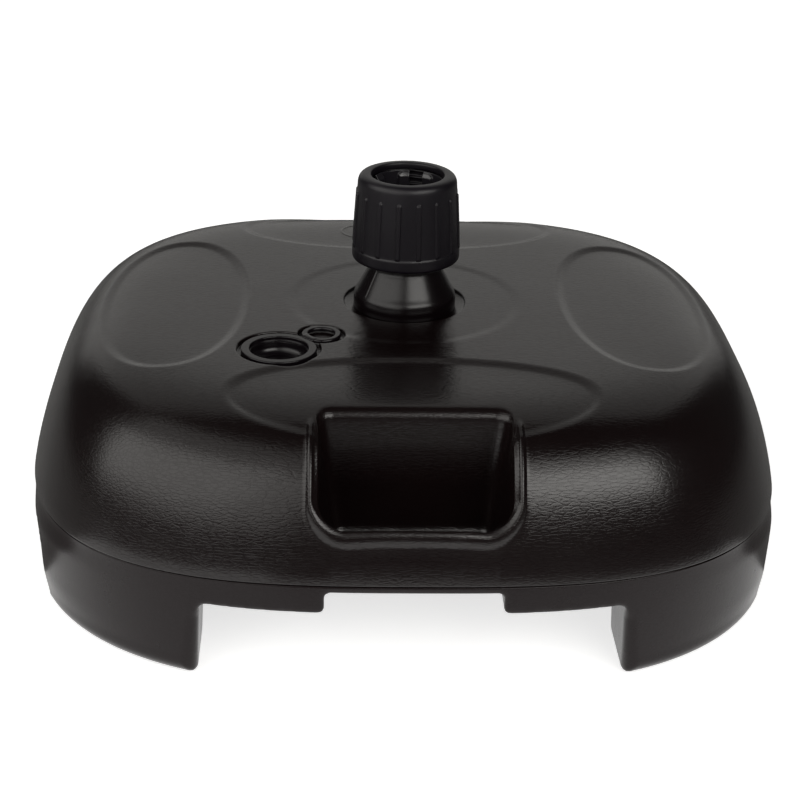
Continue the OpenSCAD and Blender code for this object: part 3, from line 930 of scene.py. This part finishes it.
def make_finger(k):
    phi = math.radians(117.75 + 90 * k)
    half = math.radians(33.25)

    def f(x, y, z):
        u = x * math.cos(phi) + y * math.sin(phi)
        w = -x * math.sin(phi) + y * math.cos(phi)
        r = np.hypot(u, w)
        ro = np.interp(z, [215, 219, 231, 247.5, 250.6], [25.5, 26.6, 25.3, 25.3, 24.5])
        arc = np.arctan2(w, u)
        side = (np.abs(arc) - half) * r
        d = round_and(r - ro, np.abs(z - 231.45) - 19.15, 0.35)
        d = round_and(d, 23.7 - r, 0.4)
        # gripping pads beside the slots, with a sloping flank and a rounded upper corner
        q = 33.25 - np.abs(np.degrees(arc))
        corner = np.hypot(np.maximum(q - 9.5, 0) * 0.39, np.maximum(z - 245.4, 0)) - 4.3
        top = np.where((q > 9.5) & (z > 245.4), corner, z - 249.7)
        slope = (21.6 - r) + smoothstep((q - 15.5) / 8.0) * 2.4
        lead = (21.6 - r) + np.maximum(0, (z - 246.6) * 0.55)
        pad = np.maximum(np.maximum(r - 24.2, 213.3 - z), round_and(slope, lead, 0.6))
        pad = round_and(pad, top, 0.8)
        d = round_or(d, pad, 0.35)
        return round_and(d, side, 0.45)

    xs = [r * math.cos(phi + a) for r in (21, 27) for a in np.radians([-35, -17, 0, 17, 35])]
    ys = [r * math.sin(phi + a) for r in (21, 27) for a in np.radians([-35, -17, 0, 17, 35])]
    V, F, N = surface_nets(f, (min(xs) - 1, min(ys) - 1, 211), (max(xs) + 1, max(ys) + 1, 252), 0.5)
    return build(f"grip_finger_{k + 1}", V, F, f"finger_{k + 1}", [f"collet_finger_{k + 1}"], M_grip, N)


def make_slip():
    prof = round_prof([(25.76, 230.0), (27.9, 230.0), (27.9, 236.0), (25.65, 236.0), (25.65, 231.0), (25.76, 230.0)], [0.4, 0.5, 0.4, 0.2])
    return lathe("pressure_ring", prof[:-1], 180, "thrust_ring", ["slip_ring"], M_tube, closed=True)


make_upper()
make_lower()
make_collar()
make_tube()
make_nut()
make_plug()
make_ring()
for k in range(4):
    make_finger(k)
make_slip()

# ------------------------------------------------------------------ floor, light, camera
floor_mat, nt, b = new_mat("floor_paper")
co = node(nt, "ShaderNodeTexCoord")
nz = node(nt, "ShaderNodeTexNoise", i_Scale=3.0, i_Detail=3.0)
nt.links.new(co.outputs["Object"], nz.inputs["Vector"])
nt.links.new(ramp(nt, nz.outputs["Fac"], [(0.3, 0.80), (0.7, 0.83)]), b.inputs["Base Color"])
b.inputs["Roughness"].default_value = 0.8
b.inputs["Emission Color"].default_value = (1, 1, 1, 1)
b.inputs["Emission Strength"].default_value = 0.7
b.inputs["Specular IOR Level"].default_value = 0.2
me = bpy.data.meshes.new("floor")
R = 12.0
me.from_pydata([(-R, -R, 0), (R, -R, 0), (R, R, 0), (-R, R, 0)], [], [(0, 1, 2, 3)])
me.materials.append(floor_mat)
floor = bpy.data.objects.new("studio_floor", me)
bpy.context.scene.collection.objects.link(floor)

world = bpy.data.worlds.new("studio")
bpy.context.scene.world = world
world.use_nodes = True
bg = world.node_tree.nodes["Background"]
bg.inputs["Color"].default_value = (1.0, 1.0, 1.0, 1)
bg.inputs["Strength"].default_value = 0.03


def area(name, loc, target, size, power, size_y=None):
    d = bpy.data.lights.new(name, "AREA")
    d.energy = power
    d.color = (1.0, 0.985, 0.95)
    d.size = size
    if size_y:
        d.shape = "RECTANGLE"
        d.size_y = size_y
    o = bpy.data.objects.new(name, d)
    bpy.context.scene.collection.objects.link(o)
    o.location = loc
    o.rotation_euler = (Vector(target) - Vector(loc)).to_track_quat("-Z", "Y").to_euler()
    return o


def around(az, el, d, z=0.12):
    """A point at an azimuth from the camera's side, an elevation and a distance from the tank."""
    a = math.radians(-92.6 + az)
    return (d * math.cos(math.radians(el)) * math.cos(a), d * math.cos(math.radians(el)) * math.sin(a), z + d * math.sin(math.radians(el)))


AIM = (0, 0, 0.12)
area("left_box", around(-49, 27, 2.6), AIM, 4.5, 40, 1.75)
area("left_box_tall", around(-56, 40, 2.9), AIM, 3.9, 28, 3.0)
area("right_box", around(36, 29, 2.6), AIM, 2.25, 23, 1.0)
area("right_box_tall", around(36, 36, 2.8), AIM, 2.25, 20, 1.6)
area("back_panel", (0.0, 3.3, 0.95), (0, 0, 0.4), 4.4, 12.3, 1.75)
area("back_upper", (0.0, 2.26, 2.5), AIM, 4.4, 11.0, 2.2)


def flag(name, a0, a1, r0, r1, mat):
    """A dark card low over the floor that only reflections see, as a studio flag."""
    n = 24
    V = []
    for i in range(n + 1):
        a = math.radians(-92.6 + a0 + (a1 - a0) * i / n)
        for r in (r0, r1):
            V.append((r * math.cos(a), r * math.sin(a), 0.004))
    m = bpy.data.meshes.new(name)
    m.from_pydata(V, [], [(2 * i, 2 * i + 1, 2 * i + 3, 2 * i + 2) for i in range(n)])
    m.materials.append(mat)
    o = bpy.data.objects.new(name, m)
    bpy.context.scene.collection.objects.link(o)
    o.visible_camera = o.visible_diffuse = o.visible_shadow = o.visible_transmission = False


def felt(name, lo, hi):
    mat, nt, b = new_mat(name)
    co = node(nt, "ShaderNodeTexCoord")
    nz = node(nt, "ShaderNodeTexNoise", i_Scale=40.0, i_Detail=3.0)
    nt.links.new(co.outputs["Object"], nz.inputs["Vector"])
    nt.links.new(ramp(nt, nz.outputs["Fac"], [(0.3, lo), (0.7, hi)]), b.inputs["Base Color"])
    b.inputs["Roughness"].default_value = 0.9
    return mat


dark_felt = felt("flag_felt", 0.12, 0.14)
grey_felt = felt("flag_felt_grey", 0.28, 0.32)
flag("front_right_flag", -14, 72, 0.45, 16.0, dark_felt)
flag("front_left_flag", -14, -65, 0.72, 16.0, dark_felt)
flag("back_right_flag", 72, 152, 0.20, 16.0, grey_felt)
flag("back_left_flag", -65, -152, 0.20, 16.0, grey_felt)
flag("back_flag", 152, 208, 0.7, 16.0, dark_felt)

az, el, roll = math.radians(-2.603), math.radians(24.159), math.radians(1.528)
back = Vector((math.sin(az) * math.cos(el), -math.cos(az) * math.cos(el), math.sin(el)))
fw = -back
right = fw.cross(Vector((0, 0, 1))).normalized()
up = right.cross(fw)
r2 = right * math.cos(roll) + up * math.sin(roll)
u2 = up * math.cos(roll) - right * math.sin(roll)
target = Vector((0, 0, 0.0888)) + right * -0.00115
pos = target + back * 1.373
cam_data = bpy.data.cameras.new("camera")
cam_data.sensor_width = 36
cam_data.lens = 1943.77 * 36 / 800
cam = bpy.data.objects.new("camera", cam_data)
bpy.context.scene.collection.objects.link(cam)
cam.matrix_world = Matrix((
    (r2.x, u2.x, back.x, pos.x),
    (r2.y, u2.y, back.y, pos.y),
    (r2.z, u2.z, back.z, pos.z),
    (0, 0, 0, 1)))
bpy.context.scene.camera = cam
bpy.context.scene.view_settings.view_transform = "Standard"

bpy.context.view_layer.update()
